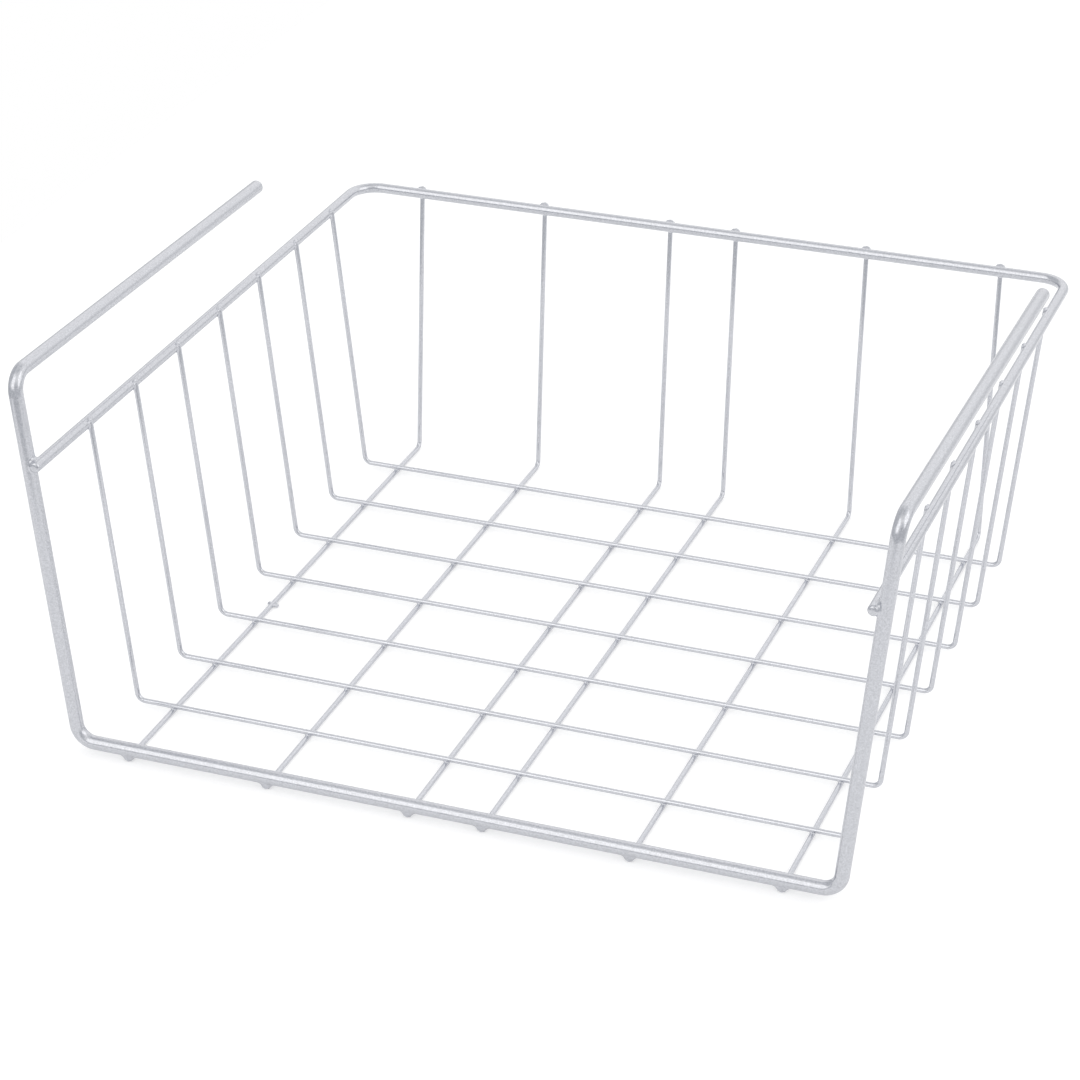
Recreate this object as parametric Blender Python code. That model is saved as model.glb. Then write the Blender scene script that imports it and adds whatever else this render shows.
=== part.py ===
"""Under-shelf basket of welded round steel wire with a silver coat.

A thick hanger frame carries everything: its two arms lie on top of a shelf board, and its legs and
front rail hang below. A medium wire runs round three sides as the rim. Thin cross wires hang from
the rim like a cradle, and thin floor wires run under them from the front rail and up the back.
Every wire is one piece. Where two wires are welded, the carrying wire swells into a bead with a
seat in it, and the other wire lies in that seat with a small gap round it.

The shapes are written in the rail's own space: x to the right from the middle, y backwards from
the plane of the legs and z up from the centre line of the front rail. An empty moves that space,
so that the whole basket stands on z = 0 with its box centred on x = 0 and y = 0.
"""

import math
from collections import namedtuple

import bmesh
import bpy
from mathutils import Matrix, Vector

# Wire diameters, with the coat
FRAME_WIRE = 0.0049
RIM_WIRE = 0.0038
MESH_WIRE = 0.0018

# Hanger frame, between centre lines
RAIL_LENGTH = 0.2677
ARM_SPACING = 0.2951
ARM_HEIGHT = 0.1337
ARM_LENGTH = 0.1863
ARM_DROP = 0.0033
RAIL_BEND = 0.0066
ARM_BEND = 0.0068

# Rim, a U in plan
RIM_HEIGHT = 0.1029
BASKET_DEPTH = 0.2640
RIM_CORNER = 0.0102
RIM_OVERHANG = 0.0030

# Cross wires, each from the rim down, across the floor and up to the rim again
CROSS_WIRES = 7
FIRST_CROSS_GAP = 0.0335
LAST_CROSS_GAP = 0.0313
CROSS_BEND = 0.0029
CROSS_RISE = 0.0012

# Floor wires, each from under the rail to the back and up behind the rim
FLOOR_WIRES_A_SIDE = 3
MIDDLE_GAP = 0.0261
CORNER_GAP = 0.0187
FLOOR_BEND = 0.0028
FLOOR_RISE = 0.0015
FLOOR_OVERHANG = 0.0015
BACK_LEAN = 0.0094

# How far two wires are pressed into each other where they are welded
LEG_SET = 0.0009
RIM_SET = 0.0011
FLOOR_SET = 0.0001
RAIL_SET = 0.0001

# Weld beads and the seats in them. The shares are of the diameter of the wire that lies there
SEAT_GAP = 0.0003
BEAD_WALL = 0.0003
BEAD_SWELL_SHARE = 0.15
BEAD_RAMP_SHARE = 0.5
CUT_OVERRUN = 0.0040

# Facets of the round shapes
THICK_SIDES = 12
THIN_SIDES = 8
BEND_STEPS = 6
END_ROUNDING_SHARE = 0.2
SMOOTH_ANGLE = math.radians(50)

# The two halves of a mirrored wire are joined where their points are nearer than this
MERGE_DISTANCE = 0.00003
# A wire whose direction has less than this share across the x axis counts as running along it
ALONG_X_SHARE = 0.001

# Look of the coat
SILVER = (0.60, 0.61, 0.64, 1)
COAT_ROUGHNESS = 0.38
COAT_METALLIC = 0.55

X_AXIS = Vector((1, 0, 0))
Y_AXIS = Vector((0, 1, 0))
Z_AXIS = Vector((0, 0, 1))

# One ring of a wire's skin: its centre, the way the wire runs there and its radius
Ring = namedtuple("Ring", "centre heading radius")
# A weld: how far along its straight it is, the side it is on and the diameter of the other wire
Weld = namedtuple("Weld", "along toward partner")

# Places that several wires share
leg_lean = (ARM_SPACING - RAIL_LENGTH) / 2 / ARM_HEIGHT
rim_half_width = RAIL_LENGTH / 2 + leg_lean * RIM_HEIGHT - (FRAME_WIRE + RIM_WIRE) / 2 + LEG_SET
floor_wire_height = RAIL_SET - (FRAME_WIRE + MESH_WIRE) / 2
cross_wire_height = floor_wire_height + MESH_WIRE - FLOOR_SET
cross_half_top = rim_half_width - (RIM_WIRE + MESH_WIRE) / 2 + RIM_SET
cross_half_floor = cross_half_top - leg_lean * (RIM_HEIGHT - cross_wire_height)
back_lean = BACK_LEAN / (RIM_HEIGHT - floor_wire_height)
back_wire_depth = BASKET_DEPTH + (RIM_WIRE + MESH_WIRE) / 2 - RIM_SET


def spread(first, last, count):
    """Evenly spaced places from the first to the last."""
    return [first + (last - first) * step / max(count - 1, 1) for step in range(count)]


cross_places = spread(FIRST_CROSS_GAP, BASKET_DEPTH - LAST_CROSS_GAP, CROSS_WIRES)
floor_places = spread(MIDDLE_GAP / 2, RAIL_LENGTH / 2 - CORNER_GAP, FLOOR_WIRES_A_SIDE)


def frame_corners():
    """The left half of the hanger frame, from the middle of the rail to the free end of the arm."""
    return [
        Vector((0, 0, 0)),
        Vector((-RAIL_LENGTH / 2, 0, 0)),
        Vector((-ARM_SPACING / 2, 0, ARM_HEIGHT)),
        Vector((-ARM_SPACING / 2, ARM_LENGTH, ARM_HEIGHT - ARM_DROP)),
    ]


def rim_corners(overrun=0):
    """The left half of the rim, from the middle of the back to just in front of the leg."""
    return [
        Vector((0, BASKET_DEPTH, RIM_HEIGHT)),
        Vector((-rim_half_width, BASKET_DEPTH, RIM_HEIGHT)),
        Vector((-rim_half_width, -RIM_OVERHANG - overrun, RIM_HEIGHT)),
    ]


def cross_corners(overrun=0):
    """The left half of a cross wire, from the middle of the floor to its end inside the rim."""
    rise = CROSS_RISE + overrun
    return [
        Vector((0, 0, cross_wire_height)),
        Vector((-cross_half_floor, 0, cross_wire_height)),
        Vector((-cross_half_top - leg_lean * rise, 0, RIM_HEIGHT + rise)),
    ]


def floor_corners(overrun=0):
    """A floor wire, from its front end under the rail to its top end behind the rim."""
    rise = FLOOR_RISE + overrun
    return [
        Vector((0, -FLOOR_OVERHANG - overrun, floor_wire_height)),
        Vector((0, back_wire_depth - BACK_LEAN, floor_wire_height)),
        Vector((0, back_wire_depth + back_lean * rise, RIM_HEIGHT + rise)),
    ]


def bead_flat(weld):
    """Half the length of a bead's full height."""
    return weld.partner / 2 + SEAT_GAP + BEAD_WALL


def bead_reach(weld):
    """Half the length of a whole bead with its ramps."""
    return bead_flat(weld) + BEAD_RAMP_SHARE * weld.partner


def beads(start, heading, wire, welds):
    """Rings that swell the wire towards each weld and leave its far side as it is."""
    rings = []
    for weld in welds:
        swell = BEAD_SWELL_SHARE * weld.partner
        flat, reach = bead_flat(weld), bead_reach(weld)
        for shift, grown in ((-reach, 0), (-flat, swell), (flat, swell), (reach, 0)):
            centre = start + heading * (weld.along + shift) + weld.toward * grown / 2
            rings.append(Ring(centre, heading, (wire + grown) / 2))
    return rings


def bend(before, corner, after, radius, wire, room):
    """Rings round one bend. Its radius gives way where its straights have too little room."""
    arriving = (corner - before).normalized()
    leaving = (after - corner).normalized()
    turn = arriving.angle(leaving)
    radius = min(radius, room / math.tan(turn / 2))
    start = corner - arriving * radius * math.tan(turn / 2)
    centre = corner + (leaving - arriving).normalized() * radius / math.cos(turn / 2)
    axis = arriving.cross(leaving)
    rings = []
    for step in range(BEND_STEPS + 1):
        swing = Matrix.Rotation(turn * step / BEND_STEPS, 3, axis)
        rings.append(Ring(centre + swing @ (start - centre), swing @ arriving, wire / 2))
    return rings


def bend_room(before, corner, after, welds_before, welds_after):
    """How much of both straights a bend may take: half of them, or up to the nearest bead."""
    rooms = [(corner - before).length / 2, (after - corner).length / 2]
    rooms += [(corner - before).length - weld.along - bead_reach(weld) for weld in welds_before]
    rooms += [weld.along - bead_reach(weld) for weld in welds_after]
    return min(rooms)


def cut_end(tip, heading, inwards, wire):
    """Two rings of a cut end with its edge rounded off, the one at the tip first."""
    rounding = END_ROUNDING_SHARE * wire
    return [Ring(tip, heading, wire / 2 - rounding), Ring(tip + inwards * rounding, heading, wire / 2)]


def wire_rings(corners, radii, wire, welds=None, open_start=False):
    """Rings of one bent wire. Its welds are lists, one for each straight, in their order."""
    straights = list(zip(corners, corners[1:]))
    headings = [(end - start).normalized() for start, end in straights]
    welds = welds or [[]] * len(straights)
    rings = [Ring(corners[0], headings[0], wire / 2)]
    if not open_start:
        rings = cut_end(corners[0], headings[0], headings[0], wire)
    for number, (start, corner) in enumerate(straights):
        rings += beads(start, headings[number], wire, welds[number])
        if number < len(radii):
            after = corners[number + 2]
            room = bend_room(start, corner, after, welds[number], welds[number + 1])
            rings += bend(start, corner, after, radii[number], wire, room)
    return rings + cut_end(corners[-1], headings[-1], -headings[-1], wire)[::-1]


def ring_points(ring, sides, plane_normal):
    """Corners of one ring. Its first facet faces squarely down, up, forwards or backwards."""
    first = ring.heading.cross(X_AXIS)
    if first.length < ALONG_X_SHARE:
        first = plane_normal.copy()
    first.normalize()
    second = ring.heading.cross(first)
    corner_radius = ring.radius / math.cos(math.pi / sides)
    points = []
    for side in range(sides):
        angle = 2 * math.pi * (side + 0.5) / sides
        points.append(ring.centre + (first * math.cos(angle) + second * math.sin(angle)) * corner_radius)
    return points


def add_tube(shape, rings, sides, plane_normal, open_start):
    """Skins rings into one tube and caps its ends. An open start is left for the mirrored half."""
    loops = [[shape.verts.new(point) for point in ring_points(ring, sides, plane_normal)] for ring in rings]
    for near, far in zip(loops, loops[1:]):
        for side in range(sides):
            after = (side + 1) % sides
            shape.faces.new((near[side], near[after], far[after], far[side]))
    shape.faces.new(loops[-1])
    if not open_start:
        shape.faces.new(loops[0][::-1])


def tube_mesh(name, tubes, sides, plane_normal, open_start=False):
    """A mesh of one or more tubes, each given by its rings."""
    shape = bmesh.new()
    for rings in tubes:
        add_tube(shape, rings, sides, plane_normal, open_start)
    mesh = bpy.data.meshes.new(name)
    shape.to_mesh(mesh)
    shape.free()
    mesh.shade_smooth()
    mesh.set_sharp_from_angle(angle=SMOOTH_ANGLE)
    return mesh


def put(name, mesh, basket, location=(0, 0, 0), mirrored=False):
    """Places a mesh in the basket. A mirrored one is the left half of its wires."""
    piece = bpy.data.objects.new(name, mesh)
    bpy.context.scene.collection.objects.link(piece)
    piece.parent = basket
    piece.location = location
    if mirrored:
        halves = piece.modifiers.new("right half", "MIRROR")
        halves.merge_threshold = MERGE_DISTANCE
    return piece


def coat(piece):
    """Gives a wire its own silver coat, also where it shares its mesh with other wires."""
    if not piece.material_slots:
        piece.data.materials.append(None)
    material = bpy.data.materials.new(piece.name + "_coat")
    material.use_nodes = True
    shader = material.node_tree.nodes["Principled BSDF"]
    shader.inputs["Base Color"].default_value = SILVER
    shader.inputs["Roughness"].default_value = COAT_ROUGHNESS
    shader.inputs["Metallic"].default_value = COAT_METALLIC
    piece.material_slots[0].link = "OBJECT"
    piece.material_slots[0].material = material


def seat(piece, clearance):
    """Cuts the seats of a family of wires into a wire that carries them."""
    cut = piece.modifiers.new(clearance.name, "BOOLEAN")
    cut.operation = "DIFFERENCE"
    cut.solver = "EXACT"
    cut.object = clearance


def put_clearance(name, tubes, sides, plane_normal, basket, mirrored):
    """A hidden cutter in the shape of some wires with their seat gap round them."""
    cutter = put(name, tube_mesh(name, tubes, sides, plane_normal, mirrored), basket, mirrored=mirrored)
    cutter.hide_render = True
    cutter.display_type = "WIRE"
    return cutter


def moved(rings, shift):
    """The same rings in another place."""
    return [ring._replace(centre=ring.centre + shift) for ring in rings]


def rim_clearance(basket):
    """Cutter for the seats of the rim's front ends."""
    rings = wire_rings(rim_corners(CUT_OVERRUN), [RIM_CORNER], RIM_WIRE + 2 * SEAT_GAP, open_start=True)
    return put_clearance("rim_clearance", [rings], THICK_SIDES, Z_AXIS, basket, mirrored=True)


def cross_clearance(basket):
    """Cutter for the seats of all cross wires."""
    rings = wire_rings(cross_corners(CUT_OVERRUN), [CROSS_BEND], MESH_WIRE + 2 * SEAT_GAP, open_start=True)
    tubes = [moved(rings, Y_AXIS * y) for y in cross_places]
    return put_clearance("cross_clearance", tubes, THIN_SIDES, Y_AXIS, basket, mirrored=True)


def floor_clearance(basket):
    """Cutter for the seats of all floor wires."""
    rings = wire_rings(floor_corners(CUT_OVERRUN), [FLOOR_BEND], MESH_WIRE + 2 * SEAT_GAP)
    tubes = [moved(rings, X_AXIS * x) for x in floor_wire_places()]
    return put_clearance("floor_clearance", tubes, THIN_SIDES, Z_AXIS, basket, mirrored=False)


def floor_wire_places():
    """Where the floor wires lie, from left to right."""
    return [-x for x in reversed(floor_places)] + floor_places


def make_hanger_frame(basket, rim_cutter, floor_cutter):
    """The thick wire, with beads under its rail and on the inner side of its legs."""
    corners = frame_corners()
    leg = (corners[2] - corners[1]).normalized()
    rail_welds = [Weld(x, -Z_AXIS, MESH_WIRE) for x in floor_places]
    leg_weld = Weld(RIM_HEIGHT / leg.z, Y_AXIS.cross(leg), RIM_WIRE)
    welds = [rail_welds, [leg_weld], []]
    rings = wire_rings(corners, [RAIL_BEND, ARM_BEND], FRAME_WIRE, welds, open_start=True)
    mesh = tube_mesh("front_hanger_frame", [rings], THICK_SIDES, Y_AXIS, open_start=True)
    frame = put("front_hanger_frame", mesh, basket, mirrored=True)
    seat(frame, rim_cutter)
    seat(frame, floor_cutter)
    coat(frame)


def make_rim(basket, cross_cutter, floor_cutter):
    """The medium wire, with beads behind for the floor wires and inside for the cross wires."""
    back_welds = [Weld(x, Y_AXIS, MESH_WIRE) for x in floor_places]
    side_welds = [Weld(BASKET_DEPTH - y, X_AXIS, MESH_WIRE) for y in reversed(cross_places)]
    rings = wire_rings(rim_corners(), [RIM_CORNER], RIM_WIRE, [back_welds, side_welds], open_start=True)
    mesh = tube_mesh("top_rim", [rings], THICK_SIDES, Z_AXIS, open_start=True)
    rim = put("top_rim", mesh, basket, mirrored=True)
    seat(rim, cross_cutter)
    seat(rim, floor_cutter)
    coat(rim)


def make_cross_wires(basket):
    """The thin wires that hang from the rim, all alike, from front to back."""
    rings = wire_rings(cross_corners(), [CROSS_BEND], MESH_WIRE, open_start=True)
    mesh = tube_mesh("cross_wire", [rings], THIN_SIDES, Y_AXIS, open_start=True)
    for number, y in enumerate(cross_places, 1):
        coat(put(f"cross_wire_{number}", mesh, basket, (0, y, 0), mirrored=True))


def make_floor_wires(basket, cross_cutter):
    """The thin wires under the cross wires, all alike, from left to right."""
    welds = [Weld(FLOOR_OVERHANG + y, Z_AXIS, MESH_WIRE) for y in cross_places]
    rings = wire_rings(floor_corners(), [FLOOR_BEND], MESH_WIRE, [welds, []])
    mesh = tube_mesh("floor_wire", [rings], THIN_SIDES, Z_AXIS)
    for number, x in enumerate(floor_wire_places(), 1):
        wire = put(f"floor_wire_{number}", mesh, basket, (x, 0, 0))
        seat(wire, cross_cutter)
        coat(wire)


def main():
    for old in list(bpy.data.objects):
        bpy.data.objects.remove(old)
    front_reach = max(FRAME_WIRE / 2, RIM_OVERHANG, FLOOR_OVERHANG)
    back_reach = back_wire_depth + back_lean * FLOOR_RISE + MESH_WIRE / 2
    basket = bpy.data.objects.new("under_shelf_basket", None)
    bpy.context.scene.collection.objects.link(basket)
    basket.location = (0, (front_reach - back_reach) / 2, MESH_WIRE / 2 - floor_wire_height)
    cross_cutter = cross_clearance(basket)
    floor_cutter = floor_clearance(basket)
    make_hanger_frame(basket, rim_clearance(basket), floor_cutter)
    make_rim(basket, cross_cutter, floor_cutter)
    make_cross_wires(basket)
    make_floor_wires(basket, cross_cutter)


main()
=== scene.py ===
# %% [markdown]
# An under-shelf basket of welded wire.
# The real basket is fifteen round steel wires. They are bent cold, welded where they cross, and coated
# with silver powder in one go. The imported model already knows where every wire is, with few facets and
# a small gap at each weld. This lesson draws the wires again with a round skin, adds the beads that
# weld them together and the knobs at their cropped tips, gives them their coat and lights them in a
# small studio.
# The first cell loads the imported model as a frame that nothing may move, and keeps its box, so that the
# last cell can show that the dressed basket is no larger.

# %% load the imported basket
import math
import random

import bpy
from mathutils import Matrix, Vector
from mathutils.geometry import intersect_line_line


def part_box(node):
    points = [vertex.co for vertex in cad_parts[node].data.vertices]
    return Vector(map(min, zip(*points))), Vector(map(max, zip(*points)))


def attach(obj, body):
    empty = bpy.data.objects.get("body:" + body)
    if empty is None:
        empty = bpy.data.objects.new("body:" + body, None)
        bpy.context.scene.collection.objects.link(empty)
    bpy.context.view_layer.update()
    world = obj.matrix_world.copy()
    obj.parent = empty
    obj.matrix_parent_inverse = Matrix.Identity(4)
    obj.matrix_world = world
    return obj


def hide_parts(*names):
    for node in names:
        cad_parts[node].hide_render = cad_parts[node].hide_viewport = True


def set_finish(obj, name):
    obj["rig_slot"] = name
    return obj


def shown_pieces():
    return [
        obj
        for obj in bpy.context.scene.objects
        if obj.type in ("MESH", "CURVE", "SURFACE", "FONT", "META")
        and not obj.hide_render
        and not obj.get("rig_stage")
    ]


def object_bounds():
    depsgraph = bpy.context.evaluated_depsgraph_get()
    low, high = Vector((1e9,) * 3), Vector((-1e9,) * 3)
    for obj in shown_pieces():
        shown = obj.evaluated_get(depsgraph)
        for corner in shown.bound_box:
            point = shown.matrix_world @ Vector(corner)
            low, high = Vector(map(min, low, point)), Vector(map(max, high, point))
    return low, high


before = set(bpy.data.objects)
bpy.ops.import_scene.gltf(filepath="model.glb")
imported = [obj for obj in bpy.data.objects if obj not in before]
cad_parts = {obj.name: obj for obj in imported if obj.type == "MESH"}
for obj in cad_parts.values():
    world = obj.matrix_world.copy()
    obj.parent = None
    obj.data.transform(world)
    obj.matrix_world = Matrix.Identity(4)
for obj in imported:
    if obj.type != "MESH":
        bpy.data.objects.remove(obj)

cad_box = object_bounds()
print("nodes in the frame:", len(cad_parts))

# %% [markdown]
# A maker's drawing of a wire is its centre line. The drawing space here is the one that a maker would
# choose: x to the right from the middle of the front rail, y backwards from the plane of the legs and z
# up from the rail's own centre line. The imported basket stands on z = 0 with its box in the middle, so
# one shift carries the drawing over. It is read from the frame: the floor wires' boxes start at the
# ground, and the top rim's box starts at its front tips, just in front of the legs.

# %% the drawing space, and the wires' thickness
MM = 0.001
FRAME_WIRE = 4.9 * MM
RIM_WIRE = 3.8 * MM
MESH_WIRE = 1.8 * MM

# How far two wires sink into each other where they are welded
LEG_SET = 0.9 * MM
RIM_SET = 1.1 * MM
FLOOR_SET = 0.1 * MM
RAIL_SET = 0.1 * MM

# How far the rim's front tips reach past the legs' centre lines
RIM_OVERHANG = 3.0 * MM

floor_wire_height = RAIL_SET - (FRAME_WIRE + MESH_WIRE) / 2
cross_wire_height = floor_wire_height + MESH_WIRE - FLOOR_SET

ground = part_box("floor_wire_1")[0].z
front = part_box("top_rim")[0].y
shift = Vector((0, front + RIM_OVERHANG, ground + MESH_WIRE / 2 - floor_wire_height))
print("the drawing is shifted by", [round(value / MM, 2) for value in shift], "mm")

# %% [markdown]
# A wire bent round a former has straight runs and true arcs. A Bezier curve would only come near that
# shape, and a bevelled corner has no tangents to follow. So this helper works out the arcs itself: at
# each inner corner it steps back along both straights and swings round the former. Each place on the
# centre line keeps the way that the wire runs there. A pair of extra places hugs each arc, because
# smooth shading blends normals between rings, and would otherwise bend the light along a long straight.

# %% centre lines with true bends
BEND_STEPS = 16
HUG = 0.5 * MM


def bent_line(corners, *bend_radii):
    """Places along a bent wire's centre line, each with the direction of the wire there.
    One radius serves all bends, or each bend has its own."""
    first_way = (corners[1] - corners[0]).normalized()
    places = [(corners[0], first_way)]
    if len(bend_radii) == 1:
        bend_radii *= len(corners) - 2
    for before, corner, after, bend_radius in zip(corners, corners[1:], corners[2:], bend_radii):
        arriving = (corner - before).normalized()
        leaving = (after - corner).normalized()
        turn = arriving.angle(leaving)
        axis = arriving.cross(leaving).normalized()
        start = corner - arriving * bend_radius * math.tan(turn / 2)
        middle = start + axis.cross(arriving) * bend_radius
        places.append((start - arriving * HUG, arriving))
        for step in range(BEND_STEPS + 1):
            swing = Matrix.Rotation(turn * step / BEND_STEPS, 3, axis)
            places.append((middle + swing @ (start - middle), swing @ arriving))
        places.append((places[-1][0] + leaving * HUG, leaving))
    last_way = (corners[-1] - corners[-2]).normalized()
    return places + [(corners[-1], last_way)]


def both_sides(left_corners):
    """The left half of a wire's corners, and then the same corners mirrored to the right."""
    right_corners = [Vector((-corner.x, corner.y, corner.z)) for corner in reversed(left_corners)]
    return left_corners + right_corners


# %% [markdown]
# The skin of a wire is a row of rings. A curve object with a round bevel gives such a tube too, but its
# ends are open or flat. A cropped wire has a flat face with a soft edge, because the coat pulls back
# from sharp edges and rounds them. So the rings are laid one by one: each ring is turned just enough to
# face along the wire, which keeps the skin free of twist, and at both ends a few smaller rings round
# the edge before a fan of triangles closes the face.

# %% from a centre line to a closed skin
END_ROUNDING = 0.28
END_STEPS = 6


def edge_radius(wire_radius):
    """Radius of the rounding at a cut edge, as a share of the wire's thickness."""
    return 2 * wire_radius * END_ROUNDING


def end_rings(tip, outwards, radius):
    """Centre and radius of the rings round one cut edge, from the straight skin to the flat face."""
    edge = edge_radius(radius)
    rings = []
    for step in range(END_STEPS + 1):
        angle = math.pi / 2 * step / END_STEPS
        centre = tip - outwards * edge * (1 - math.sin(angle))
        rings.append((centre, radius - edge * (1 - math.cos(angle))))
    return rings


def wire_skin(places, radius, sides):
    """Corner points and faces of a closed round skin along a centre line."""
    first_tip, first_way = places[0]
    last_tip, last_way = places[-1]
    rings = []
    for centre, size in reversed(end_rings(first_tip, -first_way, radius)):
        rings.append((centre, first_way, size))
    for centre, way in places[1:-1]:
        rings.append((centre, way, radius))
    for centre, size in end_rings(last_tip, last_way, radius):
        rings.append((centre, last_way, size))
    across = first_way.orthogonal().normalized()
    way_before = first_way
    points = []
    for centre, way, size in rings:
        across = way_before.rotation_difference(way) @ across
        upward = way.cross(across)
        way_before = way
        for side in range(sides):
            angle = 2 * math.pi * side / sides
            points.append(centre + (across * math.cos(angle) + upward * math.sin(angle)) * size)
    faces = []
    for ring in range(len(rings) - 1):
        for side in range(sides):
            near = ring * sides
            after = (side + 1) % sides
            faces.append((near + side, near + after, near + sides + after, near + sides + side))
    first_middle = len(points)
    last_ring = first_middle - sides
    points += [first_tip, last_tip]
    for side in range(sides):
        after = (side + 1) % sides
        faces.append((first_middle, after, side))
        faces.append((first_middle + 1, last_ring + side, last_ring + after))
    return points, faces


# %% [markdown]
# Every piece ends up in the same way: its mesh is moved from the drawing to the frame's space, its faces
# are shaded smooth, it gets the coat of its slot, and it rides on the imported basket. The basket has no
# joints, so its only body is called root. A wire also says which packed wire it stands for, and prints
# how far its box is from that wire's box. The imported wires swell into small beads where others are
# welded on, so a difference of some tenths of a millimetre is expected, and only inwards.

# %% put a piece in the scene
def add_piece(name, points, faces):
    """A smooth mesh object in the frame's space."""
    mesh = bpy.data.meshes.new(name)
    mesh.from_pydata([point + shift for point in points], [], faces)
    mesh.shade_smooth()
    piece = bpy.data.objects.new(name, mesh)
    bpy.context.scene.collection.objects.link(piece)
    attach(piece, "root")
    return piece


def stand_for(piece, node):
    """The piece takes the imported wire's place, and prints how their boxes compare."""
    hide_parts(node)
    low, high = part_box(node)
    places = [vertex.co for vertex in piece.data.vertices]
    out = 0
    inside = 0
    for axis in range(3):
        below = low[axis] - min(place[axis] for place in places)
        above = max(place[axis] for place in places) - high[axis]
        out = max(out, below, above)
        inside = max(inside, -below, -above)
    print(f"{piece.name}: {out / MM:.3f} mm outside its packed box, up to {inside / MM:.3f} mm inside it")


# %% [markdown]
# The hanger frame is the only thick wire. It starts at the free end of the left arm, comes forward,
# turns down into the left leg, crosses under the shelf as the front rail and goes up and back again on
# the right. The legs lean outwards, so the arms are further apart than the rail is long, and the arms
# droop a little towards their free ends, as they do before a board pushes them up.

# %% the hanger frame
RAIL_LENGTH = 267.7 * MM
ARM_SPACING = 295.1 * MM
ARM_HEIGHT = 133.7 * MM
ARM_LENGTH = 186.3 * MM
ARM_DROP = 3.3 * MM
ARM_BEND = 6.8 * MM
RAIL_BEND = 6.6 * MM
FRAME_SIDES = 48

frame_corners = both_sides([
    Vector((-ARM_SPACING / 2, ARM_LENGTH, ARM_HEIGHT - ARM_DROP)),
    Vector((-ARM_SPACING / 2, 0, ARM_HEIGHT)),
    Vector((-RAIL_LENGTH / 2, 0, 0)),
])
frame_bends = ARM_BEND, RAIL_BEND, RAIL_BEND, ARM_BEND
frame_skin = wire_skin(bent_line(frame_corners, *frame_bends), FRAME_WIRE / 2, FRAME_SIDES)
hanger = add_piece("hanger_frame_wire", *frame_skin)
stand_for(hanger, "front_hanger_frame")
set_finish(hanger, "hanger_frame")

# %% [markdown]
# The top rim is a U in plan, about three quarters as thick as the frame. Its front ends lie against the
# inner sides of the legs and reach a little past them. How wide it is follows from the lean of the legs.

# %% the top rim
RIM_HEIGHT = 102.9 * MM
BASKET_DEPTH = 264.0 * MM
RIM_BEND = 10.2 * MM
RIM_SIDES = 40

leg_lean = (ARM_SPACING - RAIL_LENGTH) / 2 / ARM_HEIGHT
rim_half_width = RAIL_LENGTH / 2 + leg_lean * RIM_HEIGHT - (FRAME_WIRE + RIM_WIRE) / 2 + LEG_SET
rim_corners = both_sides([
    Vector((-rim_half_width, -RIM_OVERHANG, RIM_HEIGHT)),
    Vector((-rim_half_width, BASKET_DEPTH, RIM_HEIGHT)),
])
rim_skin = wire_skin(bent_line(rim_corners, RIM_BEND), RIM_WIRE / 2, RIM_SIDES)
rim = add_piece("top_rim_wire", *rim_skin)
stand_for(rim, "top_rim")
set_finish(rim, "top_rim")

# %% [markdown]
# Seven thin cross wires hang in the rim like the ribs of a cradle. Each one rises inside the rim, on the
# same lean as the legs, and ends just above it, where the welder cropped it. They are all alike, so one
# list of corners serves them all, and a loop sets it at each wire's own depth.

# %% the cross wires
CROSS_WIRES = 7
FIRST_CROSS_GAP = 33.5 * MM
LAST_CROSS_GAP = 31.3 * MM
CROSS_BEND = 2.9 * MM
CROSS_RISE = 1.2 * MM
MESH_SIDES = 28


def spread(first, last, count):
    """Evenly spaced places from the first to the last."""
    return [first + (last - first) * step / (count - 1) for step in range(count)]


cross_half_top = rim_half_width - (RIM_WIRE + MESH_WIRE) / 2 + RIM_SET
cross_half_floor = cross_half_top - leg_lean * (RIM_HEIGHT - cross_wire_height)
cross_places = spread(FIRST_CROSS_GAP, BASKET_DEPTH - LAST_CROSS_GAP, CROSS_WIRES)


def cross_corners(depth):
    """Corners of a cross wire at one depth of the basket."""
    return both_sides([
        Vector((-cross_half_top - leg_lean * CROSS_RISE, depth, RIM_HEIGHT + CROSS_RISE)),
        Vector((-cross_half_floor, depth, cross_wire_height)),
    ])


for number, depth in enumerate(cross_places, start=1):
    skin = wire_skin(bent_line(cross_corners(depth), CROSS_BEND), MESH_WIRE / 2, MESH_SIDES)
    wire = add_piece(f"cross_wire_{number}_skin", *skin)
    stand_for(wire, f"cross_wire_{number}")
    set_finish(wire, "cross_wires")

# %% [markdown]
# Six floor wires run from under the front rail to the back. They lie under the cross wires, so the
# basket stands on them, and they rise behind the rear rim. The middle gap is narrow, and the outer two
# wires stay clear of the corners.

# %% the floor wires
MIDDLE_GAP = 26.1 * MM
CORNER_GAP = 18.7 * MM
FLOOR_BEND = 2.8 * MM
FLOOR_RISE = 1.5 * MM
FLOOR_OVERHANG = 1.5 * MM
BACK_LEAN = 9.4 * MM

back_lean = BACK_LEAN / (RIM_HEIGHT - floor_wire_height)
back_wire_depth = BASKET_DEPTH + (RIM_WIRE + MESH_WIRE) / 2 - RIM_SET
right_places = spread(MIDDLE_GAP / 2, RAIL_LENGTH / 2 - CORNER_GAP, 3)
floor_places = [-place for place in reversed(right_places)] + right_places


def floor_corners(place):
    """Corners of a floor wire at one place across the basket."""
    return [
        Vector((place, -FLOOR_OVERHANG, floor_wire_height)),
        Vector((place, back_wire_depth - BACK_LEAN, floor_wire_height)),
        Vector((place, back_wire_depth + back_lean * FLOOR_RISE, RIM_HEIGHT + FLOOR_RISE)),
    ]


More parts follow.
